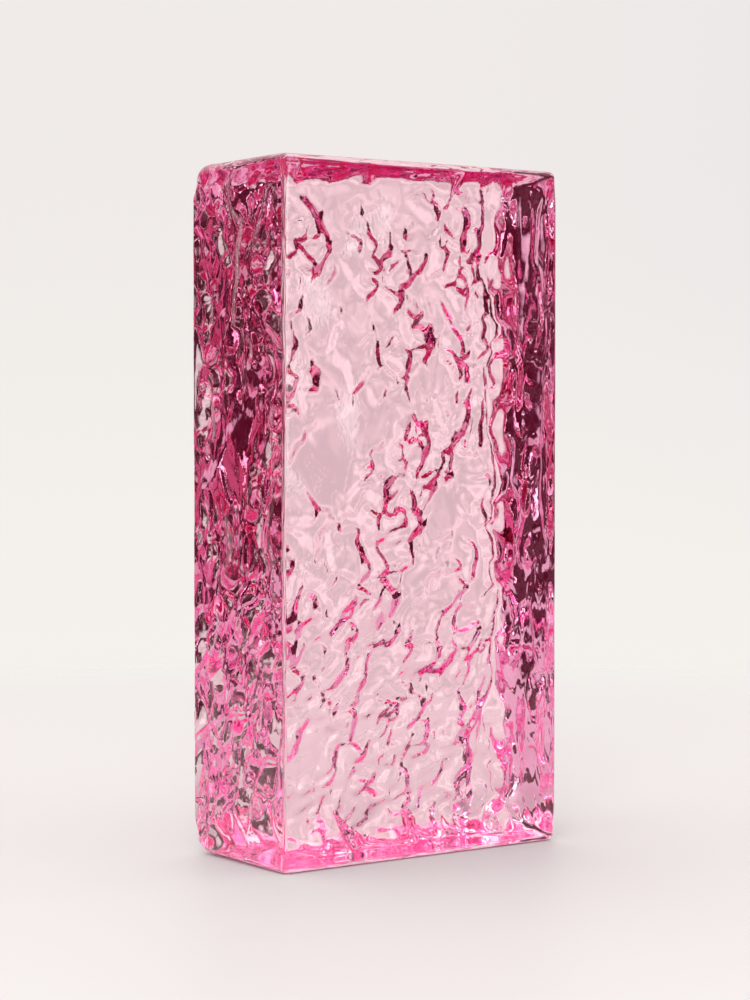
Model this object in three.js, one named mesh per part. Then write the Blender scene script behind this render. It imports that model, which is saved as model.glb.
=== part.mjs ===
// Solid cast glass block, standing on one of its short ends.
//
// One piece of pink glass, 200 x 100 x 47 mm. The wide front face is nearly smooth, with small
// edges. The wide back face is a hammered patchwork of soft facets, and towards both ends it
// draws in along a steep, uneven hem. The narrow faces have facets drawn out along the height,
// and the upright edge at the back right is notched. The two ends are flat, so the block stands
// on either.
//
// Units are millimetres. X runs across the wide faces, Y from the front face (-Y) to the back
// face (+Y), and Z up the block. The origin is at the middle of the bottom end.

import * as THREE from "three";
import { mergeVertices } from "three/addons/utils/BufferGeometryUtils.js";

// ---- Driving dimensions, in millimetres ----------------------------------------------------

const BLOCK_WIDTH = 100;
const BLOCK_THICKNESS = 47;
const BLOCK_HEIGHT = 200;

// Roundings, small on the long edges and larger on the edges of the two ends. The long edges
// grow rounder over the last stretch before each end.
const FRONT_EDGE_RADIUS = 1.3;
const FRONT_END_RADIUS = 2.2;
const BACK_EDGE_RADIUS = 2.2;
const BACK_END_RADIUS = 5;
const ROUNDER_STRETCH = 9;

// Relief of the front face: long shallow waves left by cooling.
const FRONT_WAVE_LENGTH = 20;
const FRONT_WAVE_DEPTH = 0.45;

// Relief of the back face: broad facets, and the mean depth that finer ones add to them.
const BACK_FACET_WIDTH = 14;
const BACK_FACET_HEIGHT = 18;
const BACK_FACET_DEPTH = 1.8;
const BACK_MEAN_DEPTH = 0.45;

// Relief of the narrow faces: facets drawn out along the height.
const SIDE_FACET_WIDTH = 13;
const SIDE_FACET_HEIGHT = 24;
const SIDE_FACET_DEPTH = 1.4;
const SIDE_MEAN_DEPTH = -0.1;

// Share of the relief that is left on the upright edges and at the two ends, and the stretches
// over which it returns.
const EDGE_SHARE = 0.3;
const BACK_RIGHT_EDGE_SHARE = 0.8;
const EDGE_STRETCH = 7;
const END_SHARE = 0.2;
const END_STRETCH = 14;

// Hems of the back face: where they start above the foot and below the head, and their slope.
const FOOT_HEM_LOWEST = 5;
const FOOT_HEM_HIGHEST = 13;
const HEAD_HEM_LOWEST = 2.5;
const HEAD_HEM_HIGHEST = 8;
const HEM_SCALLOP_WIDTH = 11;
const HEM_SLOPE = 1.05;
const HEM_SOFTNESS = 2;
const HEM_SHARE_LEFT = 0.3;
const HEM_CONTRAST = 1.6;
const HEM_THRESHOLD = 0.3;

// Notches of the upright edge at the back right.
const NOTCH_WIDTH = 14;
const NOTCH_HEIGHT = 12;
const NOTCH_DEPTH = 3.4;
const NOTCH_REACH = 16;
const NOTCH_CONTRAST = 1.5;
const NOTCH_THRESHOLD = 0.3;

// How sharp the borders between facets are in each pattern, and how hollow a facet is.
const BACK_SHARPNESS = 14;
const SIDE_SHARPNESS = 12;
const HEM_SHARPNESS = 6;
const NOTCH_SHARPNESS = 7;
const FACET_BOWL = 0.4;
const NO_BOWL = 0;

// Sideways wander of every facet, which keeps the rows of the pattern from showing.
const WANDER_LENGTH = 16;
const WANDER_REACH = 5;

// Roundness of the brink where the relief meets the nominal surface.
const BRINK_SOFTNESS = 0.3;

// Largest mesh facet on the flats, and how many turn each half of a rounded edge.
const MESH_SIZE = 3.8;
const EDGE_STEPS = 3;

// ---- Finish --------------------------------------------------------------------------------

const GLASS_COLOUR = 0xee6fa0;
const GLASS_ROUGHNESS = 0.06;
const GLASS_METALNESS = 0;

// ---- Seeds of the scattered patterns -------------------------------------------------------

const WANDER_SEED = 11;
const FRONT_SEED = 21;
const BACK_SEED = 31;
const FOOT_SEED = 61;
const HEAD_SEED = 71;
const NOTCH_SEED = 37;
const SIDE_SEED = 41;

// ---- Repeatable scatter --------------------------------------------------------------------

const { clamp, lerp } = THREE.MathUtils;

/** A repeatable number from 0 to 1 for one cell of a lattice. */
function scatter(i, j, k, seed) {
  let bits = Math.imul(i, 0x9e3779b1) ^ Math.imul(j, 0x85ebca77) ^ Math.imul(k, 0xc2b2ae3d);
  bits = Math.imul(bits ^ Math.imul(seed, 0x27d4eb2f), 0x2c1b3c6d);
  bits = Math.imul(bits ^ (bits >>> 15), 0x297a2d39);
  bits ^= bits >>> 15;
  return (bits >>> 0) / 4294967296;
}

/** The rise of a smooth step from 0 to 1. */
function ease(t) {
  const clamped = clamp(t, 0, 1);
  return clamped * clamped * (3 - 2 * clamped);
}

/** Smooth noise, mostly from -1 to 1, with one random slope at each corner of a unit lattice. */
function softNoise(point, seed) {
  const GAIN = 1.6;
  const cell = point.clone().floor();
  const inside = point.clone().sub(cell);
  const blend = (t) => t ** 3 * (t * (t * 6 - 15) + 10);
  const shares = inside.toArray().map(blend);
  let total = 0;
  for (let corner = 0; corner < 8; corner += 1) {
    const step = [corner & 1, (corner >> 1) & 1, (corner >> 2) & 1];
    const place = cell.toArray().map((start, axis) => start + step[axis]);
    let share = 1;
    let rise = 0;
    for (let axis = 0; axis < 3; axis += 1) {
      const slope = 2 * scatter(...place, seed + axis) - 1;
      share *= step[axis] ? shares[axis] : 1 - shares[axis];
      rise += slope * (inside.getComponent(axis) - step[axis]);
    }
    total += share * rise;
  }
  return GAIN * total;
}

/**
 * A field of soft facets, one in each cell of a lattice, with steps between them. Each facet has
 * its own level and tilt, and is hollowed like a shallow bowl. It is mostly from 0 to 1.
 */
function facetField(point, width, height, seed, sharpness, bowl) {
  const TILT = 1.2;
  const x = point.x / width;
  const y = point.y / width;
  const z = point.z / height;
  const i = Math.floor(x);
  const j = Math.floor(y);
  const k = Math.floor(z);
  let weights = 0;
  let total = 0;
  for (let a = i - 1; a <= i + 1; a += 1) {
    for (let b = j - 1; b <= j + 1; b += 1) {
      for (let c = k - 1; c <= k + 1; c += 1) {
        const dx = x - a - scatter(a, b, c, seed);
        const dy = y - b - scatter(a, b, c, seed + 1);
        const dz = z - c - scatter(a, b, c, seed + 2);
        const squared = dx * dx + dy * dy + dz * dz;
        const weight = Math.exp(-sharpness * squared);
        const level = scatter(a, b, c, seed + 3);
        const across = (scatter(a, b, c, seed + 4) - 0.5) * (dx - dy);
        const upward = (scatter(a, b, c, seed + 5) - 0.5) * dz;
        total += weight * (level + TILT * (across + upward) - bowl * squared);
        weights += weight;
      }
    }
  }
  return total / weights;
}

// ---- Relief --------------------------------------------------------------------------------

/** A point moved sideways by the wander, so that the facets flow into one another. */
function wander(point) {
  const place = point.clone().divideScalar(WANDER_LENGTH);
  const shift = new THREE.Vector3(
    softNoise(place, WANDER_SEED),
    softNoise(place, WANDER_SEED + 3),
    softNoise(place, WANDER_SEED + 6),
  );
  return point.clone().addScaledVector(shift, WANDER_REACH);
}

/** Share of the relief that is left at a point, least at the ends and most upright edges. */
function edgeCalm(point) {
  const fromSide = BLOCK_WIDTH / 2 - Math.abs(point.x);
  const fromFace = BLOCK_THICKNESS / 2 - Math.abs(point.y);
  const backRight = point.x > 0 && point.y > 0;
  const fromEnd = BLOCK_HEIGHT / 2 - Math.abs(point.z);
  const left = backRight ? BACK_RIGHT_EDGE_SHARE : EDGE_SHARE;
  const alongEdge = lerp(left, 1, ease(Math.max(fromSide, fromFace) / EDGE_STRETCH));
  return alongEdge * lerp(END_SHARE, 1, ease(fromEnd / END_STRETCH));
}

/** A depth kept above zero, easing onto the nominal surface where it would rise past it. */
function keepBelow(depth) {
  return 0.5 * (depth + Math.hypot(depth, BRINK_SOFTNESS));
}

/** Depth of the relief below the nominal surface at a point whose outward normal is known. */
function reliefDepth(point, normal) {
  const moved = wander(point);
  const wave = softNoise(point.clone().divideScalar(FRONT_WAVE_LENGTH), FRONT_SEED);
  const broad = facetField(
    moved, BACK_FACET_WIDTH, BACK_FACET_HEIGHT, BACK_SEED, BACK_SHARPNESS, FACET_BOWL,
  );
  const drawn = facetField(
    moved, SIDE_FACET_WIDTH, SIDE_FACET_HEIGHT, SIDE_SEED, SIDE_SHARPNESS, FACET_BOWL,
  );
  const frontDepth = FRONT_WAVE_DEPTH * (0.5 + 0.5 * wave);
  const backDepth = edgeCalm(point) * (BACK_FACET_DEPTH * broad + BACK_MEAN_DEPTH);
  const sideDepth = edgeCalm(point) * (SIDE_FACET_DEPTH * drawn + SIDE_MEAN_DEPTH);
  return (
    Math.max(0, -normal.y) ** 3 * frontDepth +
    Math.max(0, normal.y) ** 3 * keepBelow(backDepth) +
    Math.abs(normal.x) ** 3 * keepBelow(sideDepth)
  );
}

/** How far one hem draws the back in, at a place along the width and a height above the end. */
function hemDepth(x, fromEnd, lowest, highest, seed) {
  const along = new THREE.Vector3(x, 0, 0);
  const scallops = facetField(
    along, HEM_SCALLOP_WIDTH, HEM_SCALLOP_WIDTH, seed, HEM_SHARPNESS, NO_BOWL,
  );
  const share = clamp(HEM_CONTRAST * scallops - HEM_THRESHOLD, 0, 1);
  const reach = lerp(lowest, highest, share);
  const inner = Math.max(0, reach - fromEnd);
  return (HEM_SLOPE * inner * inner) / (inner + HEM_SOFTNESS);
}

/** How far the back is drawn in at a point, by the uneven hems at its foot and its head. */
function hems(point) {
  const fromFoot = BLOCK_HEIGHT / 2 + point.z;
  const fromHead = BLOCK_HEIGHT / 2 - point.z;
  const foot = hemDepth(point.x, fromFoot, FOOT_HEM_LOWEST, FOOT_HEM_HIGHEST, FOOT_SEED);
  const head = hemDepth(point.x, fromHead, HEAD_HEM_LOWEST, HEAD_HEM_HIGHEST, HEAD_SEED);
  const fromLeft = ease((point.x + BLOCK_WIDTH / 2) / (2 * EDGE_STRETCH));
  const fromFront = ease(0.5 + point.y / BLOCK_THICKNESS);
  return (foot + head) * lerp(HEM_SHARE_LEFT, 1, fromLeft) * fromFront;
}

/** How far the upright edge at the back right is drawn in at a point, in uneven notches. */
function notches(point) {
  const along = new THREE.Vector3(0, point.y, point.z);
  const uneven = facetField(
    along, NOTCH_WIDTH, NOTCH_HEIGHT, NOTCH_SEED, NOTCH_SHARPNESS, NO_BOWL,
  );
  const deep = clamp(NOTCH_CONTRAST * uneven - NOTCH_THRESHOLD, 0, 1);
  const fromEdge = Math.hypot(BLOCK_WIDTH / 2 - point.x, BLOCK_THICKNESS / 2 - point.y);
  return NOTCH_DEPTH * deep * (1 - ease(fromEdge / NOTCH_REACH));
}

// ---- Rounded block -------------------------------------------------------------------------

/** Radii of the front and the back edges at one grid line of the height. */
function edgeRadii(index, lastIndex) {
  const facetHeight = (BLOCK_HEIGHT - 2 * BACK_END_RADIUS) / (lastIndex - 2 * EDGE_STEPS);
  const fromRounding = facetHeight * (Math.min(index, lastIndex - index) - EDGE_STEPS);
  const grown = ease(1 - fromRounding / ROUNDER_STRETCH);
  return {
    front: lerp(FRONT_EDGE_RADIUS, FRONT_END_RADIUS, grown),
    back: lerp(BACK_EDGE_RADIUS, BACK_END_RADIUS, grown),
  };
}

/**
 * Place of one grid line along an axis of the given size, whose rounded edges have the given
 * radius at each end: evenly turning facets within each edge, and equal facets between them.
 */
function gridPlace(index, lastIndex, size, startRadius, endRadius) {
  const turn = (steps) => Math.tan((steps / EDGE_STEPS) * (Math.PI / 4));
  if (index < EDGE_STEPS) {
    return -size / 2 + startRadius * (1 - turn(EDGE_STEPS - index));
  }
  if (index > lastIndex - EDGE_STEPS) {
    return size / 2 - endRadius * (1 - turn(index - lastIndex + EDGE_STEPS));
  }
  const share = (index - EDGE_STEPS) / (lastIndex - 2 * EDGE_STEPS);
  return -size / 2 + startRadius + share * (size - startRadius - endRadius);
}

/** How many facets an axis of the given size takes, its two rounded edges included. */
function facetCount(size) {
  return Math.ceil((size - 2 * BACK_END_RADIUS) / MESH_SIZE) + 2 * EDGE_STEPS;
}

/** The point of the rounded block, sunk by the relief, that one point of its grid goes to. */
function shapePoint(point, radius, radii) {
  const reachX = BLOCK_WIDTH / 2 - radius;
  const reachZ = BLOCK_HEIGHT / 2 - radius;
  const core = new THREE.Vector3(
    clamp(point.x, -reachX, reachX),
    clamp(point.y, radii.front - BLOCK_THICKNESS / 2, BLOCK_THICKNESS / 2 - radii.back),
    clamp(point.z, -reachZ, reachZ),
  );
  const normal = point.clone().sub(core).normalize();
  const surface = core.clone().addScaledVector(normal, radius);
  const sunk = surface.clone().addScaledVector(normal, -reliefDepth(surface, normal));
  sunk.x -= notches(surface);
  sunk.y -= hems(surface);
  return sunk;
}

/** The whole block as one closed mesh, standing on z = 0. */
function makeBlockGeometry() {
  const facetsX = facetCount(BLOCK_WIDTH);
  const facetsY = facetCount(BLOCK_THICKNESS);
  const facetsZ = facetCount(BLOCK_HEIGHT);
  const box = new THREE.BoxGeometry(facetsX, facetsY, facetsZ, facetsX, facetsY, facetsZ);
  box.deleteAttribute("normal");
  box.deleteAttribute("uv");
  const geometry = mergeVertices(box);
  const places = geometry.getAttribute("position");
  for (let i = 0; i < places.count; i += 1) {
    const indexX = Math.round(places.getX(i) + facetsX / 2);
    const indexY = Math.round(places.getY(i) + facetsY / 2);
    const indexZ = Math.round(places.getZ(i) + facetsZ / 2);
    const radii = edgeRadii(indexZ, facetsZ);
    const y = gridPlace(indexY, facetsY, BLOCK_THICKNESS, radii.front, radii.back);
    const flatDepth = BLOCK_THICKNESS - radii.front - radii.back;
    const across = (y + BLOCK_THICKNESS / 2 - radii.front) / flatDepth;
    const radius = lerp(radii.front, radii.back, ease(across));
    const x = gridPlace(indexX, facetsX, BLOCK_WIDTH, radius, radius);
    const z = gridPlace(indexZ, facetsZ, BLOCK_HEIGHT, radius, radius);
    const point = shapePoint(new THREE.Vector3(x, y, z), radius, radii);
    places.setXYZ(i, point.x, point.y, point.z + BLOCK_HEIGHT / 2);
  }
  return geometry;
}

// ---- Model ---------------------------------------------------------------------------------

const glass = new THREE.MeshStandardMaterial({
  color: GLASS_COLOUR,
  roughness: GLASS_ROUGHNESS,
  metalness: GLASS_METALNESS,
});

const block = new THREE.Mesh(makeBlockGeometry(), glass);
block.name = "glass_block";

const model = new THREE.Group();
model.add(block);

export default model;
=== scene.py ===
"""A solid block of pink cast glass, standing on end on a pale studio table.

The block replaces its plain solid with a fine mesh of the same shape: a nearly smooth front
face, hammered back and narrow faces, and flat ends. All sizes are in millimetres until the
finished mesh is scaled to metres.
"""

import itertools
import logging
import math
from dataclasses import dataclass, field
from enum import IntEnum
from typing import Any

import bmesh
import bpy
import numpy as np
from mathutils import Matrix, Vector

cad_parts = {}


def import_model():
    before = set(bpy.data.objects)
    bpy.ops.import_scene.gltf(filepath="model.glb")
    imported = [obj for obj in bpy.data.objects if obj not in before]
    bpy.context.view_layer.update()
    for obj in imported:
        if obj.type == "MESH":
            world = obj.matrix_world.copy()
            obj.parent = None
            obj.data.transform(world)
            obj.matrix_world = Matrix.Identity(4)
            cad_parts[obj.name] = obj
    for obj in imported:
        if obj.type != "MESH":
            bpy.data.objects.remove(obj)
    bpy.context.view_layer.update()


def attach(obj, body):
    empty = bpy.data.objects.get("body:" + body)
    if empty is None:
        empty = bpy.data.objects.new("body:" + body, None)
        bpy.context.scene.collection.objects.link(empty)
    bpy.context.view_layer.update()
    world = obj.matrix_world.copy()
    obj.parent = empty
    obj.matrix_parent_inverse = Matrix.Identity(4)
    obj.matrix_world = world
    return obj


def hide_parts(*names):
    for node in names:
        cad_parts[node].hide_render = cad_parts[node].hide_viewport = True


MM = 0.001
LOG = logging.getLogger("glass_block")

Span = tuple[float, float]
Triple = tuple[float, float, float]


class Seed(IntEnum):
    """The seed of each random pattern, so that every run makes the same block."""

    WANDER = 11
    FRONT_WAVES = 21
    BROAD_FACETS = 31
    NOTCHES = 37
    NICKS = 39
    NARROW_FACETS = 41
    SMALL_FACETS = 51
    TINY_FACETS = 55
    FOOT_HEM = 61
    HEAD_HEM = 71
    SMALL_PATCHES = 75
    TINY_PATCHES = 77
    JITTER = 91
    SHIVER = 95


# ---- Colours and nodes -----------------------------------------------------------------------

# The settings of a Map Range node that gives a smooth step, and of a Mix node for colours.
SMOOTH = {"interpolation_type": "SMOOTHSTEP"}
COLOURS = {"data_type": "RGBA"}

# The sockets of such a Mix node: the second colour's share, the two colours, and the result.
SHARE, FIRST, SECOND = 0, 6, 7
MIXED = 2


def linear(hex_colour: str) -> tuple[float, float, float, float]:
    """Turn an sRGB hex colour to the linear colour that shaders take.

    Args:
        hex_colour: Six hex digits, such as "ffd0e0".

    Returns:
        Linear red, green, blue and an alpha of 1.
    """
    channels = [int(hex_colour[i : i + 2], 16) / 255 for i in (0, 2, 4)]
    turned = [c / 12.92 if c <= 0.04045 else ((c + 0.055) / 1.055) ** 2.4 for c in channels]
    return (turned[0], turned[1], turned[2], 1.0)


def add_node(
    tree: bpy.types.NodeTree, kind: str, inputs: Any = (), **settings: Any
) -> bpy.types.Node:
    """Add one node with its settings, values and links.

    Args:
        tree: The node tree that the node goes into.
        kind: The node's type name.
        inputs: What each input takes: a value, an output socket, or a node whose first output
            is linked. It is a list in the inputs' own order, or a dictionary by name or number.
        settings: Properties of the node itself.

    Returns:
        The new node.
    """
    node = tree.nodes.new(kind)
    for name, value in settings.items():
        setattr(node, name, value)
    by_key = inputs if isinstance(inputs, dict) else dict(enumerate(inputs))
    for key, value in by_key.items():
        source = value.outputs[0] if isinstance(value, bpy.types.Node) else value
        if isinstance(source, bpy.types.NodeSocket):
            tree.links.new(source, node.inputs[key])
        else:
            node.inputs[key].default_value = source
    return node


# ---- Random patterns -------------------------------------------------------------------------

# Odd numbers that turn a cell and a seed into well-mixed bits.
CELL_STRIDES = (0x9E3779B1, 0x85EBCA77, 0xC2B2AE3D)
SEED_STRIDE = 0x27D4EB2F
STIRS = (0x2C1B3C6D, 0x297A2D39)
STIR_SHIFT = 15
WORD_SIZE = 2**32

NOISE_GAIN = 1.6  # brings the noise close to the range from -1 to 1


def ease(t: np.ndarray) -> np.ndarray:
    """Give the smooth step from 0 to 1 of each number."""
    clamped = np.clip(t, 0.0, 1.0)
    return clamped * clamped * (3 - 2 * clamped)


def ease_along(values: np.ndarray, stretch: Span) -> np.ndarray:
    """Give 0 before a stretch of the values, 1 past it, and a smooth step along it."""
    return ease((values - stretch[0]) / (stretch[1] - stretch[0]))


def scatter(cell: np.ndarray, seed: int) -> np.ndarray:
    """Give each lattice cell a repeatable number from 0 to 1.

    Args:
        cell: Whole-numbered cells, one row of three each.
        seed: Picks one of many scatters.

    Returns:
        One number for each cell.
    """
    bits = np.uint32((seed * SEED_STRIDE) % WORD_SIZE)
    for column, stride in zip(cell.T, CELL_STRIDES):
        bits = bits ^ (column.astype(np.int64).astype(np.uint32) * np.uint32(stride))
    bits = bits * np.uint32(STIRS[0])
    bits = (bits ^ (bits >> np.uint32(STIR_SHIFT))) * np.uint32(STIRS[1])
    return (bits ^ (bits >> np.uint32(STIR_SHIFT))) / float(WORD_SIZE)


def soft_noise(points: np.ndarray, seed: int) -> np.ndarray:
    """Give smooth noise, mostly from -1 to 1, with one random slope per corner of a unit lattice.

    Args:
        points: Rows of x, y and z.
        seed: Picks one of many noises.

    Returns:
        One number for each point.
    """
    cell = np.floor(points)
    inside = points - cell
    share = inside**3 * (inside * (inside * 6 - 15) + 10)
    total = np.zeros(len(points))
    for z, y, x in itertools.product((0, 1), repeat=3):
        corner = np.array([x, y, z])
        part = np.where(corner, share, 1 - share).prod(axis=1)
        slope = np.stack([scatter(cell + corner, seed + n) for n in range(3)], axis=1) * 2 - 1
        total += part * (slope * (inside - corner)).sum(axis=1)
    return NOISE_GAIN * total


@dataclass(frozen=True)
class Facets:
    """A patchwork of soft facets, one in each cell of a lattice, with steps between them.

    Each facet has its own level and its own tilt, and is hollowed like a shallow bowl.
    """

    spacing: Triple
    sharpness: float  # of the steps between neighbours
    bowl: float  # how hollow each facet is
    seed: Seed
    tilt: float = 1.2  # how much a facet may fall across one cell, as a share of its depth

    def levels(self, points: np.ndarray) -> np.ndarray:
        """Work out how deep the patchwork lies.

        Args:
            points: Rows of x, y and z.

        Returns:
            For each point, a depth of mostly 0 to 1.
        """
        scaled = points / np.array(self.spacing)
        cell = np.floor(scaled)
        weights = np.zeros(len(points))
        total = np.zeros(len(points))
        for step in itertools.product((-1, 0, 1), repeat=3):
            near = cell + np.array(step)
            *place, level, fall_across, fall_up = (scatter(near, self.seed + n) for n in range(6))
            away = scaled - near - np.stack(place, axis=1)
            squared = (away**2).sum(axis=1)
            weight = np.exp(-self.sharpness * squared)
            across = (fall_across - 0.5) * (away[:, 0] - away[:, 1])
            fall = across + (fall_up - 0.5) * away[:, 2]
            total += weight * (level + self.tilt * fall - self.bowl * squared)
            weights += weight
        return total / weights


@dataclass(frozen=True)
class Cuts:
    """Uneven cuts: facets whose levels are stretched, so that only the deep ones cut in."""

    facets: Facets
    gain: float
    threshold: float

    def share(self, points: np.ndarray) -> np.ndarray:
        """Give how deep each point is cut, from 0 to 1."""
        return np.clip(self.gain * self.facets.levels(points) - self.threshold, 0, 1)


@dataclass(frozen=True)
class Patches:
    """Soft patches, which thin a pattern out in some places."""

    length: Triple
    bias: float
    gain: float
    seed: Seed

    def share(self, points: np.ndarray) -> np.ndarray:
        """Give 0 between the patches to 1 inside them."""
        return ease(self.bias + self.gain * soft_noise(points / np.array(self.length), self.seed))


@dataclass(frozen=True)
class Wander:
    """Noise of one length and reach, which moves points sideways so that no row shows."""

    length: float
    reach: float
    seed: Seed

    def move(self, points: np.ndarray) -> np.ndarray:
        """Move the points, along each axis by a noise of its own.

        Args:
            points: Rows of x, y and z.

        Returns:
            The moved points.
        """
        scaled = points / self.length
        # Each noise draws from three seeds in a row.
        shift = np.stack([soft_noise(scaled, self.seed + 3 * n) for n in range(3)], axis=1)
        return points + self.reach * shift


# ---- Relief ----------------------------------------------------------------------------------


@dataclass(frozen=True)
class BlockSize:
    """The sides of the block before its relief is sunk into it, in millimetres."""

    width: float = 100.0
    thickness: float = 47.0
    height: float = 200.0


@dataclass(frozen=True)
class FrontFace:
    """The nearly smooth wide face at the front, with long shallow waves."""

    wave_length: float = 20.0
    wave_depth: float = 0.45

    def waves(self, points: np.ndarray) -> np.ndarray:
        """Give the waves' share of their depth at each point, mostly from 0 to 1."""
        return 0.5 + 0.5 * soft_noise(points / self.wave_length, Seed.FRONT_WAVES)


@dataclass(frozen=True)
class BackFace:
    """The hammered wide face at the back: broad facets with small and tiny ones on them.

    The finer ones come in patches and lean over in the lower part. They fade in one calm patch
    and towards the right, and crowd at the foot. Heights are from the middle of the block.
    """

    broad: Facets = Facets(
        spacing=(14.0, 14.0, 18.0), sharpness=14.0, bowl=0.4, seed=Seed.BROAD_FACETS
    )
    broad_depth: float = 1.8
    small: Facets = Facets(
        spacing=(5.6, 5.6, 7.2), sharpness=9.0, bowl=0.3, seed=Seed.SMALL_FACETS
    )
    small_depth: float = 4.3
    small_patches: Patches = Patches(
        length=(18.0, 18.0, 20.0), bias=0.5, gain=2.6, seed=Seed.SMALL_PATCHES
    )
    small_least: float = 0.2  # what is left of them between their patches
    tiny: Facets = Facets(spacing=(3.8, 3.8, 4.8), sharpness=7.0, bowl=0.3, seed=Seed.TINY_FACETS)
    tiny_depth: float = 1.1
    tiny_patches: Patches = Patches(
        length=(11.0, 11.0, 12.0), bias=0.45, gain=1.4, seed=Seed.TINY_PATCHES
    )
    jitter: Wander = Wander(length=8.0, reach=3.5, seed=Seed.JITTER)
    shiver: Wander = Wander(length=3.6, reach=1.3, seed=Seed.SHIVER)
    lift: float = 0.55  # brings the whole relief up towards the nominal face
    lean: float = 0.45  # how far the facets lean aside for each millimetre down
    lean_below: float = -20.0
    calm_middle: Span = (-18.0, 0.0)
    calm_reach: Span = (17.0, 30.0)
    calm_end: float = 1.5  # how many reaches from its middle the calm patch ends
    calm_share: float = 0.35  # what is left of the small facets in the calm patch
    right_stretch: Span = (28.0, 40.0)
    right_share: float = 0.6
    foot_stretch: Span = (10.0, 70.0)  # below the middle of the block
    left_stretch: Span = (-62.0, -12.0)  # where the crowding at the foot grows in from the left
    foot_small: float = 0.42  # the least share of the small facets at the foot
    foot_tiny: float = 0.7  # the share of tiny facets that the foot has besides its patches

    def liveliness(self, points: np.ndarray) -> np.ndarray:
        """Give how lively the fine facets are, least in the calm patch.

        Args:
            points: Rows of x, y and z on the nominal surface.

        Returns:
            For each point, 0 in the middle of the calm patch to 1 outside it.
        """
        away = np.hypot(
            (points[:, 0] - self.calm_middle[0]) / self.calm_reach[0],
            (points[:, 2] - self.calm_middle[1]) / self.calm_reach[1],
        )
        return 1 - ease(self.calm_end - away)

    def depth(self, points: np.ndarray, wandered: np.ndarray) -> np.ndarray:
        """Give the depth of the face's relief.

        Args:
            points: Rows of x, y and z on the nominal surface.
            wandered: The same points, moved sideways by the long wander.

        Returns:
            A depth for each point.
        """
        leaning = points.copy()
        leaning[:, 0] -= self.lean * np.minimum(0.0, points[:, 2] - self.lean_below)
        jittered = self.shiver.move(self.jitter.move(leaning))
        lively = self.liveliness(points)
        foot = ease_along(-points[:, 2], self.foot_stretch)
        foot *= ease_along(points[:, 0], self.left_stretch)
        right = 1 - (1 - self.right_share) * ease_along(points[:, 0], self.right_stretch)
        thick = np.maximum(self.small_patches.share(points), self.foot_small * foot) * right
        small = self.small.levels(jittered)
        small *= self.small_least + (1 - self.small_least) * thick
        small *= self.calm_share + (1 - self.calm_share) * lively
        tiny = self.tiny.levels(jittered)
        tiny *= (self.tiny_patches.share(points) + self.foot_tiny * foot) * lively * right
        broad = self.broad.levels(wandered)
        facets = self.broad_depth * broad + self.small_depth * small + self.tiny_depth * tiny
        return facets - self.lift


@dataclass(frozen=True)
class NarrowFaces:
    """The two narrow faces, with facets drawn out along the height."""

    facets: Facets = Facets(
        spacing=(13.0, 13.0, 24.0), sharpness=12.0, bowl=0.4, seed=Seed.NARROW_FACETS
    )
    facet_depth: float = 1.4
    lift: float = 0.1

    def depth(self, wandered: np.ndarray) -> np.ndarray:
        """Give the depth of the faces' relief at each wandered point."""
        return self.facet_depth * self.facets.levels(wandered) - self.lift


@dataclass(frozen=True)
class Hem:
    """A steep, scalloped hem, where the back draws in towards one end of the block."""

    lowest: float
    highest: float
    seed: Seed
    scallop_width: float = 11.0
    sharpness: float = 6.0
    bowl: float = 0.0
    gain: float = 1.6
    threshold: float = 0.3
    slope: float = 1.05
    softness: float = 2.0

    def depth(self, across: np.ndarray, from_end: np.ndarray) -> np.ndarray:
        """Give how far the hem draws the back in.

        Args:
            across: Places along the width.
            from_end: Distances from the end that the hem runs along.

        Returns:
            A depth for each point.
        """
        facets = Facets((self.scallop_width,) * 3, self.sharpness, self.bowl, self.seed)
        scallops = Cuts(facets, self.gain, self.threshold)
        share = scallops.share(np.stack([across, 0 * across, 0 * across], axis=1))
        start = self.lowest + share * (self.highest - self.lowest)
        inner = np.maximum(0.0, start - from_end)
        return self.slope * inner**2 / (inner + self.softness)


@dataclass(frozen=True)
class NotchedEdge:
    """The upright edge at the back right, drawn in by notches and by finer nicks."""

    notches: Cuts = Cuts(
        Facets(spacing=(14.0, 14.0, 12.0), sharpness=7.0, bowl=0.0, seed=Seed.NOTCHES),
        gain=1.5,
        threshold=0.3,
    )
    notch_depth: float = 3.4
    notch_reach: float = 16.0
    nicks: Cuts = Cuts(
        Facets(spacing=(9.0, 9.0, 7.5), sharpness=7.0, bowl=0.3, seed=Seed.NICKS),
        gain=1.8,
        threshold=0.45,
    )
    nick_depth: float = 3.0
    nick_reach: float = 7.0

    def depth(self, points: np.ndarray, from_edge: np.ndarray) -> np.ndarray:
        """Give how far the edge is drawn in.

        Args:
            points: Rows of x, y and z on the nominal surface.
            from_edge: How far each point is from the edge.

        Returns:
            A depth for each point.
        """
        along = points * (0.0, 1.0, 1.0)
        notched = self.notch_depth * self.notches.share(along)
        notched *= 1 - ease(from_edge / self.notch_reach)
        nicked = self.nick_depth * self.nicks.share(along)
        nicked *= 1 - ease(from_edge / self.nick_reach)
        return notched + nicked


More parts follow.
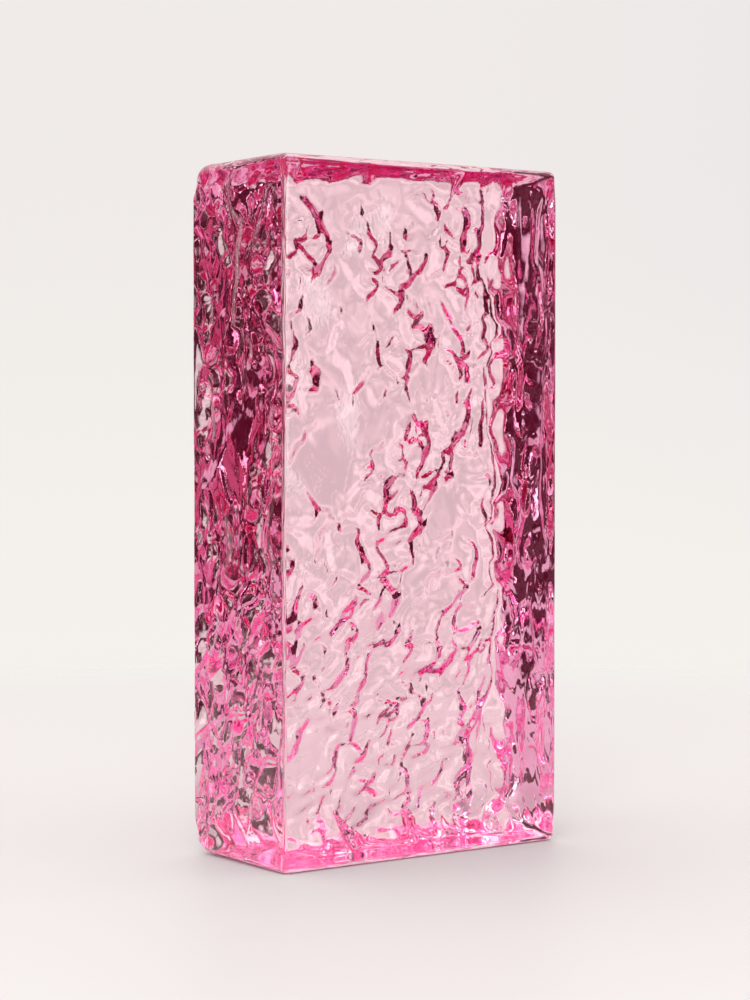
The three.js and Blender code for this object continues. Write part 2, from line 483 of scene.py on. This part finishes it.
@dataclass(frozen=True)
class Relief:
    """The moulded relief of the whole block, in millimetres.

    It is weaker along most upright edges and towards the ends, which are flat.
    """

    size: BlockSize
    front: FrontFace = FrontFace()
    back: BackFace = BackFace()
    sides: NarrowFaces = NarrowFaces()
    foot_hem: Hem = Hem(lowest=5.0, highest=13.0, seed=Seed.FOOT_HEM)
    head_hem: Hem = Hem(lowest=2.5, highest=8.0, seed=Seed.HEAD_HEM)
    hem_share_left: float = 0.3
    notched_edge: NotchedEdge = NotchedEdge()
    wander: Wander = Wander(length=16.0, reach=5.0, seed=Seed.WANDER)
    edge_fade: float = 7.0
    edge_share: float = 0.3
    notched_edge_share: float = 0.8
    end_fade: float = 14.0
    end_share: float = 0.2
    brink_softness: float = 0.3
    face_blend: int = 3  # how soon one face's relief gives way to the next, round an edge

    def strength(self, points: np.ndarray) -> np.ndarray:
        """Give how much of the relief is left, least at the edges and the ends.

        Args:
            points: Rows of x, y and z on the nominal surface.

        Returns:
            For each point, a share from 0 to 1.
        """
        from_side = self.size.width / 2 - np.abs(points[:, 0])
        from_face = self.size.thickness / 2 - np.abs(points[:, 1])
        away = ease(np.maximum(from_side, from_face) / self.edge_fade)
        back_right = (points[:, 0] > 0) & (points[:, 1] > 0)
        at_edge = np.where(back_right, self.notched_edge_share, self.edge_share)
        from_end = ease((self.size.height / 2 - np.abs(points[:, 2])) / self.end_fade)
        at_end = self.end_share + (1 - self.end_share) * from_end
        return (at_edge + (1 - at_edge) * away) * at_end

    def keep_below(self, depth: np.ndarray) -> np.ndarray:
        """Ease a depth onto the nominal surface where it would rise past it."""
        return 0.5 * (depth + np.hypot(depth, self.brink_softness))

    def hems(self, points: np.ndarray) -> np.ndarray:
        """Give how far the two hems draw the back in.

        Args:
            points: Rows of x, y and z on the nominal surface.

        Returns:
            A depth for each point.
        """
        x, y, z = points.T
        foot = self.foot_hem.depth(x, self.size.height / 2 + z)
        head = self.head_hem.depth(x, self.size.height / 2 - z)
        inside = ease((x + self.size.width / 2) / (2 * self.edge_fade))
        kept = self.hem_share_left + (1 - self.hem_share_left) * inside
        return (foot + head) * kept * ease(0.5 + y / self.size.thickness)

    def notches(self, points: np.ndarray) -> np.ndarray:
        """Give how far the upright edge at the back right is drawn in.

        Args:
            points: Rows of x, y and z on the nominal surface.

        Returns:
            A depth for each point.
        """
        from_edge = np.hypot(
            self.size.width / 2 - points[:, 0], self.size.thickness / 2 - points[:, 1]
        )
        return self.notched_edge.depth(points, from_edge)

    def depth(self, points: np.ndarray, normals: np.ndarray) -> np.ndarray:
        """Give how far the faces' relief lies below the nominal surface.

        Args:
            points: Rows of x, y and z on the nominal surface.
            normals: The outward normal at each point.

        Returns:
            A depth for each point.
        """
        front = np.maximum(0.0, -normals[:, 1]) ** self.face_blend
        back = np.maximum(0.0, normals[:, 1]) ** self.face_blend
        side = np.abs(normals[:, 0]) ** self.face_blend
        wandered = self.wander.move(points)
        strength = self.strength(points)
        waves = self.front.waves(points)
        deep_back = self.keep_below(strength * self.back.depth(points, wandered))
        deep_side = self.keep_below(strength * self.sides.depth(wandered))
        return front * self.front.wave_depth * waves + back * deep_back + side * deep_side

    def sink(self, points: np.ndarray, normals: np.ndarray) -> np.ndarray:
        """Sink points of the nominal surface by the relief, the notches and the hems.

        Args:
            points: Rows of x, y and z on the nominal surface.
            normals: The outward normal at each point.

        Returns:
            The points on the real surface.
        """
        sunk = points - normals * self.depth(points, normals)[:, None]
        sunk[:, 0] -= self.notches(points)
        sunk[:, 1] -= self.hems(points)
        return sunk


# ---- Glass -----------------------------------------------------------------------------------


@dataclass(frozen=True)
class PinkCastGlass:
    """Soda-lime glass, tinted pink and cast in a mould, most of whose colour sits in a thin skin.

    Light that crosses the skin once on each side of the block stays pale. Light that is mirrored
    inside takes the tint up again and again, more so at a slant, and comes out hot pink, or a
    deeper pink where it meets the skin steeply, along the middle of the block and in soft clouds.
    At both ends the mirrored light takes the lighter hot tint, and fewer times: painted light on the
    bands there. The body adds a little more colour along the way.
    """

    # To the eye it is clear and wet-looking: pale pink across the wide face, and hot pink in the
    # narrow faces and in the marks of the back, which turn maroon where they mirror dark things.
    name: str = "pink_cast_glass"
    ior: float = 1.51
    roughness: float = 0.0
    skin: str = "fcdde6"
    hot_skin: str = "fff1fa"
    deep_skin: str = "f6d9e6"
    mirrored_all: float = 0.999  # the Fresnel value past which all light is mirrored inside
    facing_blend: float = 0.5  # at this blend, Facing is 1 less the cosine of the slant
    skin_passes: float = 2.7  # how often mirrored light takes the tint up, even head-on
    slant_share: float = 0.3
    least_slant: float = 0.02  # keeps the longest way through the skin within bounds
    glancing: Span = (0.42, 0.56)  # the Facing values where a steep way turns to a glancing one
    # Below the first stretch and above the second, mirrored light takes the lighter hot tint:
    # painted light on the bands at the foot and the head.
    deep_foot: Span = (60.0, 100.0)
    deep_head: Span = (182.0, 192.0)
    cloud_size: float = 26.0
    cloud_span: Span = (0.3, 0.7)
    cloudiness: float = 0.3
    # Along these stretches the tint is taken up fewer times towards each end, which lightens the
    # mirrored light there: painted light.
    fewer_passes_foot: Span = (8.0, 18.0)
    fewer_passes_head: Span = (182.0, 192.0)
    foot_passes_share: float = 0.4
    head_passes_share: float = 0.6
    body: str = "ff59bc"
    absorption_per_metre: float = 1.6
    grain_size: float = 1.1  # coarser than a mould's own grain, which is too fine to show
    grain_depth: float = 0.012

    def between_ends(
        self,
        tree: bpy.types.NodeTree,
        place: bpy.types.NodeSocket,
        foot: tuple[Span, float],
        head: tuple[Span, float],
    ) -> bpy.types.Node:
        """Give 1 along the middle of the block, and other values at its foot and its head.

        Args:
            tree: The node tree.
            place: The place on the block.
            foot: The heights between which the foot's value turns to 1, and that value.
            head: The heights between which 1 turns to the head's value, and that value.

        Returns:
            The node that gives the value.
        """
        height = add_node(tree, "ShaderNodeSeparateXYZ", [place]).outputs["Z"]
        steps = ((foot[0], foot[1], 1.0), (head[0], 1.0, head[1]))
        ends = [
            add_node(
                tree,
                "ShaderNodeMapRange",
                [height, heights[0] * MM, heights[1] * MM, below, above],
                **SMOOTH,
            )
            for heights, below, above in steps
        ]
        return add_node(tree, "ShaderNodeMath", ends, operation="MULTIPLY")

    def deep_share(
        self,
        tree: bpy.types.NodeTree,
        place: bpy.types.NodeSocket,
        facing: bpy.types.NodeSocket,
    ) -> bpy.types.Node:
        """Give where mirrored light takes the deep tint and where the hot one.

        Args:
            tree: The node tree.
            place: The place on the block.
            facing: 0 where light meets the skin head-on, to 1 where it grazes it.

        Returns:
            The node that gives the deep tint's share, from 0 to 1.
        """
        # The ends take the lighter hot tint: painted light on the mirrored bands there.
        middle = self.between_ends(tree, place, (self.deep_foot, 0.0), (self.deep_head, 0.0))
        noise = add_node(
            tree,
            "ShaderNodeTexNoise",
            {"Vector": place, "Scale": 1 / (self.cloud_size * MM), "Detail": 1.0},
        )
        cloud = noise.outputs["Fac"]
        clouds = add_node(
            tree,
            "ShaderNodeMapRange",
            [cloud, *self.cloud_span, 1.0 - self.cloudiness, 1.0],
            **SMOOTH,
        )
        steep = add_node(tree, "ShaderNodeMapRange", [facing, *self.glancing, 1.0, 0.0], **SMOOTH)
        cloudy = add_node(tree, "ShaderNodeMath", [middle, clouds], operation="MULTIPLY")
        return add_node(tree, "ShaderNodeMath", [cloudy, steep], operation="MULTIPLY")

    def passes(
        self,
        tree: bpy.types.NodeTree,
        place: bpy.types.NodeSocket,
        facing: bpy.types.NodeSocket,
    ) -> bpy.types.Node:
        """Give how often mirrored light takes the skin's tint up, which is more at a slant.

        Args:
            tree: The node tree.
            place: The place on the block.
            facing: 0 where light meets the skin head-on, to 1 where it grazes it.

        Returns:
            The node that gives the power that the tint is raised to.
        """
        cosine = add_node(
            tree, "ShaderNodeMath", [1.0 + self.least_slant, facing], operation="SUBTRACT"
        )
        slant = add_node(tree, "ShaderNodeMath", [self.slant_share, cosine], operation="DIVIDE")
        way = add_node(tree, "ShaderNodeMath", [slant, self.skin_passes], operation="ADD")
        # Fewer passes at the foot and the head lighten the mirrored bands there: painted light.
        thickness = self.between_ends(
            tree,
            place,
            (self.fewer_passes_foot, self.foot_passes_share),
            (self.fewer_passes_head, self.head_passes_share),
        )
        return add_node(tree, "ShaderNodeMath", [way, thickness], operation="MULTIPLY")

    def build(self) -> bpy.types.Material:
        """Make the material.

        Returns:
            The finished glass.
        """
        material = bpy.data.materials.new(self.name)
        material.use_nodes = True
        tree = material.node_tree
        tree.nodes.clear()
        place = add_node(tree, "ShaderNodeTexCoord").outputs["Object"]
        grain = add_node(
            tree,
            "ShaderNodeTexNoise",
            {"Vector": place, "Scale": 1 / (self.grain_size * MM), "Detail": 2.0},
        )
        ripple = {
            "Height": grain.outputs["Fac"],
            "Distance": self.grain_depth * MM,
            "Strength": 1.0,
        }
        bump = add_node(tree, "ShaderNodeBump", ripple)
        clear = add_node(
            tree,
            "ShaderNodeBsdfPrincipled",
            {
                "Base Color": linear(self.skin),
                "Transmission Weight": 1.0,
                "IOR": self.ior,
                "Roughness": self.roughness,
                "Normal": bump,
            },
        )
        facing = add_node(
            tree, "ShaderNodeLayerWeight", {"Blend": self.facing_blend, "Normal": bump}
        ).outputs["Facing"]
        tint = add_node(
            tree,
            "ShaderNodeMix",
            {
                SHARE: self.deep_share(tree, place, facing),
                FIRST: linear(self.hot_skin),
                SECOND: linear(self.deep_skin),
            },
            **COLOURS,
        )
        mirrored = add_node(
            tree, "ShaderNodeGamma", [tint.outputs[MIXED], self.passes(tree, place, facing)]
        )
        mirror = add_node(
            tree,
            "ShaderNodeBsdfAnisotropic",
            {"Color": mirrored, "Roughness": self.roughness, "Normal": bump},
        )
        fresnel = add_node(tree, "ShaderNodeFresnel", {"IOR": self.ior, "Normal": bump})
        trapped = add_node(
            tree, "ShaderNodeMath", [fresnel, self.mirrored_all], operation="GREATER_THAN"
        )
        surface = add_node(tree, "ShaderNodeMixShader", [trapped, clear, mirror])
        volume = add_node(
            tree,
            "ShaderNodeVolumeAbsorption",
            {"Color": linear(self.body), "Density": self.absorption_per_metre},
        )
        add_node(tree, "ShaderNodeOutputMaterial", {"Surface": surface, "Volume": volume})
        return material


# ---- The block -------------------------------------------------------------------------------


@dataclass
class GlassBlock:
    """The block itself: one rounded slab of glass, sunk by its relief. Sizes in millimetres.

    Every edge has a small radius round the front face and a larger one round the back, and both
    grow towards the corners, where the glass has run rounder.
    """

    size: BlockSize = BlockSize()
    front_edge_radius: float = 1.3
    front_corner_radius: float = 2.2
    back_edge_radius: float = 2.2
    back_corner_radius: float = 5.0
    corner_reach: float = 9.0
    facet: float = 0.8
    edge_facets: int = 6
    flatness: float = 1e-4  # how far a point of a flat end may lie off it
    glass: PinkCastGlass = PinkCastGlass()
    relief: Relief = field(init=False)

    def __post_init__(self) -> None:
        """Give the relief the block's own size."""
        self.relief = Relief(self.size)

    def facet_count(self, size: float) -> int:
        """Give how many facets an axis of this size takes, its rounded edges included."""
        return math.ceil((size - 2 * self.back_corner_radius) / self.facet) + 2 * self.edge_facets

    def grid_place(
        self, index: np.ndarray, last: int, size: float, start: np.ndarray, end: np.ndarray
    ) -> np.ndarray:
        """Place grid lines along one axis: closer within the rounded edges, even between.

        Args:
            index: The number of each point's grid line.
            last: The number of the last line.
            size: The block's size along the axis.
            start: Each point's edge radius at the low end.
            end: Each point's edge radius at the high end.

        Returns:
            Each point's coordinate, from minus to plus half the size.
        """
        eighth_turn = math.pi / 4
        into_low = np.clip(self.edge_facets - index, 0, None) / self.edge_facets
        into_high = np.clip(index - last + self.edge_facets, 0, None) / self.edge_facets
        share = (index - self.edge_facets) / (last - 2 * self.edge_facets)
        flat = -size / 2 + start + np.clip(share, 0, 1) * (size - start - end)
        return flat - start * np.tan(into_low * eighth_turn) + end * np.tan(into_high * eighth_turn)

    def radii(self, index: np.ndarray, last: int) -> tuple[np.ndarray, np.ndarray]:
        """Give the front and back edge radius at each grid line of the height.

        Args:
            index: The number of each point's grid line.
            last: The number of the last line.

        Returns:
            The radius round the front face, and the radius round the back face.
        """
        facet = (self.size.height - 2 * self.back_corner_radius) / (last - 2 * self.edge_facets)
        from_rounding = facet * (np.minimum(index, last - index) - self.edge_facets)
        grown = ease(1 - from_rounding / self.corner_reach)
        front = self.front_edge_radius + grown * (self.front_corner_radius - self.front_edge_radius)
        back = self.back_edge_radius + grown * (self.back_corner_radius - self.back_edge_radius)
        return front, back

    def grid_box(self) -> tuple[bmesh.types.BMesh, tuple[int, int, int]]:
        """Make a box cut into a grid, each cell one unit.

        Returns:
            The box, centred, and how many cells it has along each axis.
        """
        sides = (self.size.width, self.size.thickness, self.size.height)
        counts = tuple(self.facet_count(side) for side in sides)
        halfway = 0.5  # every edge runs along one axis, 1 on it and 0 on the others
        box = bmesh.new()
        bmesh.ops.create_cube(box, size=1.0)
        for axis, count in enumerate(counts):
            along = [
                edge
                for edge in box.edges
                if abs((edge.verts[0].co - edge.verts[1].co).normalized()[axis]) > halfway
            ]
            bmesh.ops.subdivide_edges(box, edges=along, cuts=count - 1, use_grid_fill=True)
        bmesh.ops.scale(box, vec=Vector(counts), verts=box.verts)
        return box, counts

    def shape(self, cells: np.ndarray, counts: tuple[int, int, int]) -> np.ndarray:
        """Move the points of the gridded box onto the rounded, hammered block.

        Args:
            cells: The centred grid coordinates, one row for each point.
            counts: How many cells there are along each axis.

        Returns:
            Each point in millimetres, standing on z = 0.
        """
        width, thickness, height = self.size.width, self.size.thickness, self.size.height
        index = cells + np.array(counts) / 2
        front, back = self.radii(index[:, 2], counts[2])
        y = self.grid_place(index[:, 1], counts[1], thickness, front, back)
        across = (y + thickness / 2 - front) / (thickness - front - back)
        radius = front + ease(across) * (back - front)
        x = self.grid_place(index[:, 0], counts[0], width, radius, radius)
        z = self.grid_place(index[:, 2], counts[2], height, radius, radius)
        reach_x = width / 2 - radius
        reach_z = height / 2 - radius
        core = np.stack(
            [
                np.clip(x, -reach_x, reach_x),
                np.clip(y, front - thickness / 2, thickness / 2 - back),
                np.clip(z, -reach_z, reach_z),
            ],
            axis=1,
        )
        normals = np.stack([x, y, z], axis=1) - core
        normals /= np.linalg.norm(normals, axis=1, keepdims=True)
        shaped = self.relief.sink(core + normals * radius[:, None], normals)
        shaped[:, 2] += height / 2
        return shaped

    def merge_ends(self, mesh: bpy.types.Mesh) -> None:
        """Merge the facets of each flat end into one face.

        Args:
            mesh: The block's mesh, which is changed in place.
        """
        near = self.flatness * MM
        block = bmesh.new()
        block.from_mesh(mesh)
        for level in (0.0, self.size.height * MM):
            flat = [f for f in block.faces if all(abs(v.co.z - level) < near for v in f.verts)]
            bmesh.ops.dissolve_faces(block, faces=flat, use_verts=False)
        block.to_mesh(mesh)
        block.free()

    def build(self) -> bpy.types.Object:
        """Make the block's mesh and dress it in glass.

        Returns:
            The finished block.
        """
        box, counts = self.grid_box()
        mesh = bpy.data.meshes.new("pink_glass_block")
        box.to_mesh(mesh)
        box.free()
        cells = np.empty(len(mesh.vertices) * 3)
        mesh.vertices.foreach_get("co", cells)
        # The lines of the centred grid lie on whole or half cells.
        shaped = self.shape(np.round(cells.reshape(-1, 3) * 2) / 2, counts)
        mesh.vertices.foreach_set("co", (shaped * MM).ravel())
        self.merge_ends(mesh)
        mesh.shade_smooth()
        mesh.update()
        block = bpy.data.objects.new("pink_glass_block", mesh)
        bpy.context.scene.collection.objects.link(block)
        mesh.materials.append(self.glass.build())
        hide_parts("glass_block")
        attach(block, "root")
        return block


# ---- Studio ----------------------------------------------------------------------------------


@dataclass(frozen=True)
class MattWhiteLacquer:
    """White lacquer, sprayed matt on a smooth board."""

    # To the eye it is pale and dull, with a weak, blurred sheen.
    name: str = "matt_white_lacquer"
    colour: str = "d4d3d4"
    roughness: float = 0.5
    specular: float = 0.2

    def build(self, solid: float, end: float) -> bpy.types.Material:
        """Make the material.

        Args:
            solid: How far from its middle the board is solid, in millimetres.
            end: How far from its middle it has faded out.

        Returns:
            The finished lacquer.
        """
        material = bpy.data.materials.new(self.name)
        material.use_nodes = True
        tree = material.node_tree
        tree.nodes.clear()
        lacquer = add_node(
            tree,
            "ShaderNodeBsdfPrincipled",
            {
                "Base Color": linear(self.colour),
                "Roughness": self.roughness,
                "Specular IOR Level": self.specular,
            },
        )
        place = add_node(tree, "ShaderNodeTexCoord").outputs["Object"]
        radius = add_node(tree, "ShaderNodeVectorMath", [place], operation="LENGTH").outputs["Value"]
        gone = add_node(
            tree, "ShaderNodeMapRange", [radius, solid * MM, end * MM, 0.0, 1.0], **SMOOTH
        )
        clear = add_node(tree, "ShaderNodeBsdfTransparent")
        faded = add_node(tree, "ShaderNodeMixShader", [gone, lacquer, clear])
        add_node(tree, "ShaderNodeOutputMaterial", {"Surface": faded})
        return material


@dataclass(frozen=True)
class Table:
    """The round table that the block stands on, which fades out towards its rim.

    Sizes in millimetres.
    """

    solid_radius: float = 350.0
    radius: float = 650.0
    segments: int = 96
    drop: float = 0.2  # keeps the table's top just clear of the block's foot
    finish: MattWhiteLacquer = MattWhiteLacquer()

    def build(self) -> bpy.types.Object:
        """Lay the table.

        Returns:
            The table.
        """
        disc = bmesh.new()
        bmesh.ops.create_circle(
            disc, cap_ends=True, segments=self.segments, radius=self.radius * MM
        )
        bmesh.ops.translate(disc, vec=(0.0, 0.0, -self.drop * MM), verts=disc.verts)
        mesh = bpy.data.meshes.new("table")
        disc.to_mesh(mesh)
        disc.free()
        table = bpy.data.objects.new("table", mesh)
        bpy.context.scene.collection.objects.link(table)
        mesh.materials.append(self.finish.build(self.solid_radius, self.radius))
        return table


@dataclass(frozen=True)
class DarkGap:
    """A dark gap in the light round the block, in degrees of the compass."""

    middle: float
    solid: float  # how far from its middle it is fully dark
    end: float  # how far from its middle it ends


@dataclass(frozen=True)
class Sky:
    """The soft light from all round, with a dark gap on each side of the block.

    The gaps are what the glass mirrors where it looks maroon. A height here is the sine of an
    elevation: -1 straight down, 0 level and 1 straight up. The camera sees a plain backdrop in
    place of all this.
    """

    colour: str = "f0ebe8"
    strength: float = 1.12
    far_side: float = 0.8  # the strength's share to the camera's right
    far_side_span: Span = (0.02, 0.55)
    mid_height: float = 0.7  # the share above the horizon
    mid_height_span: Span = (0.05, 0.4)
    zenith: float = 2.8  # the further share straight up
    zenith_span: Span = (0.2, 1.0)
    cloud_scale: float = 4.6
    cloud_span: Span = (0.3, 0.7)
    unevenness: float = 0.2
    gap_colour: str = "541a2d"
    gaps: tuple[DarkGap, DarkGap] = (
        DarkGap(middle=132.0, solid=66.0, end=71.0),
        DarkGap(middle=315.0, solid=21.0, end=33.0),
    )
    gap_foot: Span = (-0.45, -0.35)
    gap_head: Span = (0.33, 0.58)
    horizon_colour: str = "f5f2ed"
    horizon_span: Span = (-0.12, 0.1)
    backdrop_colour: str = "f0ebe8"
    backdrop_right_colour: str = "ece8e8"
    backdrop_right_span: Span = (0.0, 0.2)

    def toward(
        self, tree: bpy.types.NodeTree, flat: bpy.types.NodeSocket, compass: float
    ) -> bpy.types.NodeSocket:
        """Give how far each level direction points to one side.

        Args:
            tree: The node tree.
            flat: Each direction, made level.
            compass: The side, in degrees of the compass.

        Returns:
            The cosine of the angle between the two.
        """
        turn = math.radians(compass)
        side = (math.sin(turn), math.cos(turn), 0.0)
        node = add_node(tree, "ShaderNodeVectorMath", [flat, side], operation="DOT_PRODUCT")
        return node.outputs["Value"]

    def darkness(
        self, tree: bpy.types.NodeTree, flat: bpy.types.NodeSocket, height: bpy.types.NodeSocket
    ) -> bpy.types.Node:
        """Give 1 inside the dark gaps and 0 outside them.

        Args:
            tree: The node tree.
            flat: Each direction, made level.
            height: The height of each direction.

        Returns:
            The node that gives the gaps' share.
        """
        gaps = []
        for gap in self.gaps:
            near = self.toward(tree, flat, gap.middle)
            cosines = [math.cos(math.radians(angle)) for angle in (gap.end, gap.solid)]
            gaps.append(
                add_node(tree, "ShaderNodeMapRange", [near, *cosines, 0.0, 1.0], **SMOOTH)
            )
        sides = add_node(tree, "ShaderNodeMath", gaps, operation="MAXIMUM")
        foot = add_node(tree, "ShaderNodeMapRange", [height, *self.gap_foot, 0.0, 1.0], **SMOOTH)
        head = add_node(tree, "ShaderNodeMapRange", [height, *self.gap_head, 1.0, 0.0], **SMOOTH)
        band = add_node(tree, "ShaderNodeMath", [foot, head], operation="MULTIPLY")
        return add_node(tree, "ShaderNodeMath", [sides, band], operation="MULTIPLY")

    def glow(
        self,
        tree: bpy.types.NodeTree,
        way: bpy.types.NodeSocket,
        height: bpy.types.NodeSocket,
        aside: bpy.types.NodeSocket,
    ) -> bpy.types.Node:
        """Give the soft light: dimmer to the camera's right, brightest overhead, a little uneven.

        Args:
            tree: The node tree.
            way: Each direction.
            height: The height of each direction.
            aside: How far each points to the camera's right.

        Returns:
            The node that gives the light.
        """
        noise = add_node(
            tree, "ShaderNodeTexNoise", {"Vector": way, "Scale": self.cloud_scale, "Detail": 1.0}
        )
        cloud = noise.outputs["Fac"]
        steps = (
            (aside, self.far_side_span, self.strength, self.strength * self.far_side),
            (height, self.mid_height_span, 1.0, self.mid_height),
            (height, self.zenith_span, 1.0, self.zenith),
            (cloud, self.cloud_span, 1.0 - self.unevenness, 1.0 + self.unevenness),
        )
        strength, *factors = (
            add_node(tree, "ShaderNodeMapRange", [value, *span, before, after], **SMOOTH)
            for value, span, before, after in steps
        )
        for factor in factors:
            strength = add_node(tree, "ShaderNodeMath", [strength, factor], operation="MULTIPLY")
        colour = linear(self.colour)[:3]
        return add_node(
            tree, "ShaderNodeVectorMath", {"Vector": colour, "Scale": strength}, operation="SCALE"
        )

    def backdrop(
        self, tree: bpy.types.NodeTree, height: bpy.types.NodeSocket, aside: bpy.types.NodeSocket
    ) -> bpy.types.NodeSocket:
        """Give the plain backdrop that the camera sees.

        Args:
            tree: The node tree.
            height: The height of each direction.
            aside: How far each points to the camera's right.

        Returns:
            The backdrop's colour.
        """
        right = add_node(
            tree, "ShaderNodeMapRange", [aside, *self.backdrop_right_span, 0.0, 1.0], **SMOOTH
        )
        wall = add_node(
            tree,
            "ShaderNodeMix",
            {
                SHARE: right,
                FIRST: linear(self.backdrop_colour),
                SECOND: linear(self.backdrop_right_colour),
            },
            **COLOURS,
        ).outputs[MIXED]
        risen = add_node(
            tree, "ShaderNodeMapRange", [height, *self.horizon_span, 0.0, 1.0], **SMOOTH
        )
        return add_node(
            tree,
            "ShaderNodeMix",
            {SHARE: risen, FIRST: linear(self.horizon_colour), SECOND: wall},
            **COLOURS,
        ).outputs[MIXED]

    def build(self, camera_yaw: float) -> bpy.types.World:
        """Light the room.

        Args:
            camera_yaw: Where the camera looks, in degrees of the compass.

        Returns:
            The scene's world.
        """
        world = bpy.data.worlds.new("studio")
        bpy.context.scene.world = world
        world.use_nodes = True
        tree = world.node_tree
        tree.nodes.clear()
        way = add_node(tree, "ShaderNodeTexCoord").outputs["Generated"]
        x, y, height = add_node(tree, "ShaderNodeSeparateXYZ", [way]).outputs
        level = add_node(tree, "ShaderNodeCombineXYZ", [x, y])
        flat = add_node(tree, "ShaderNodeVectorMath", [level], operation="NORMALIZE").outputs[0]
        aside = self.toward(tree, flat, camera_yaw + 90.0)
        studio = add_node(
            tree,
            "ShaderNodeMix",
            {
                SHARE: self.darkness(tree, flat, height),
                FIRST: self.glow(tree, way, height, aside),
                SECOND: linear(self.gap_colour),
            },
            **COLOURS,
        )
        straight = add_node(tree, "ShaderNodeLightPath").outputs["Is Camera Ray"]
        seen = add_node(
            tree,
            "ShaderNodeMix",
            {
                SHARE: straight,
                FIRST: studio.outputs[MIXED],
                SECOND: self.backdrop(tree, height, aside),
            },
            **COLOURS,
        )
        light = add_node(tree, "ShaderNodeBackground", {"Color": seen.outputs[MIXED]})
        add_node(tree, "ShaderNodeOutputWorld", {"Surface": light})
        return world


@dataclass(frozen=True)
class Softbox:
    """One soft lamp that faces the middle of the block. Sizes in millimetres, power in watts."""

    name: str
    place: Triple
    width: float
    height: float
    power: float
    aim: Triple = (0.0, 0.0, 100.0)

    def build(self) -> bpy.types.Object:
        """Hang the lamp.

        Returns:
            The lamp.
        """
        data = bpy.data.lights.new(self.name, "AREA")
        data.shape = "RECTANGLE"
        data.size = self.width * MM
        data.size_y = self.height * MM
        data.energy = self.power
        lamp = bpy.data.objects.new(self.name, data)
        lamp.location = Vector(self.place) * MM
        way = Vector(self.aim) * MM - lamp.location
        lamp.rotation_euler = way.to_track_quat("-Z", "Y").to_euler()
        bpy.context.scene.collection.objects.link(lamp)
        return lamp


@dataclass(frozen=True)
class Camera:
    """The camera. Its place and lens are in millimetres, its turns in degrees."""

    place: Triple = (-463.5, -613.0, 128.8)
    yaw: float = 37.06
    pitch: float = 1.96
    lens: float = 93.9

    def build(self) -> bpy.types.Object:
        """Set up the camera.

        Returns:
            The scene's camera.
        """
        data = bpy.data.cameras.new("camera")
        data.lens = self.lens
        camera = bpy.data.objects.new("camera", data)
        camera.location = Vector(self.place) * MM
        camera.rotation_euler = (math.radians(90 - self.pitch), 0.0, math.radians(-self.yaw))
        bpy.context.scene.collection.objects.link(camera)
        bpy.context.scene.camera = camera
        return camera


@dataclass
class Studio:
    """The pale table, the light round it, the camera, and how far light is followed."""

    table: Table = Table()
    sky: Sky = Sky()
    softboxes: tuple[Softbox, ...] = (
        Softbox("high_left", (-750.0, -850.0, 1000.0), width=500.0, height=500.0, power=4.5),
        Softbox("tall_left", (-2170.0, 1250.0, 500.0), width=250.0, height=1400.0, power=3.3),
        Softbox("tall_right", (1290.0, -2140.0, 500.0), width=250.0, height=1000.0, power=2.6),
    )
    camera: Camera = Camera()
    bounces: int = 32  # enough for light that is mirrored to and fro inside the glass
    glossy_bounces: int = 24

    def build(self) -> None:
        """Build the studio, and set the picture's tone and how far light is followed."""
        self.table.build()
        self.sky.build(self.camera.yaw)
        for softbox in self.softboxes:
            softbox.build()
        self.camera.build()
        scene = bpy.context.scene
        scene.view_settings.view_transform = "Standard"
        scene.cycles.max_bounces = self.bounces
        scene.cycles.glossy_bounces = self.glossy_bounces
        scene.cycles.transmission_bounces = self.bounces


def main() -> None:
    """Build the block and its studio, and note the block's face count."""
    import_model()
    block = GlassBlock().build()
    LOG.info("%s: %d faces", block.name, len(block.data.polygons))
    Studio().build()


if __name__ == "__main__":
    logging.basicConfig(level=logging.INFO)
    main()
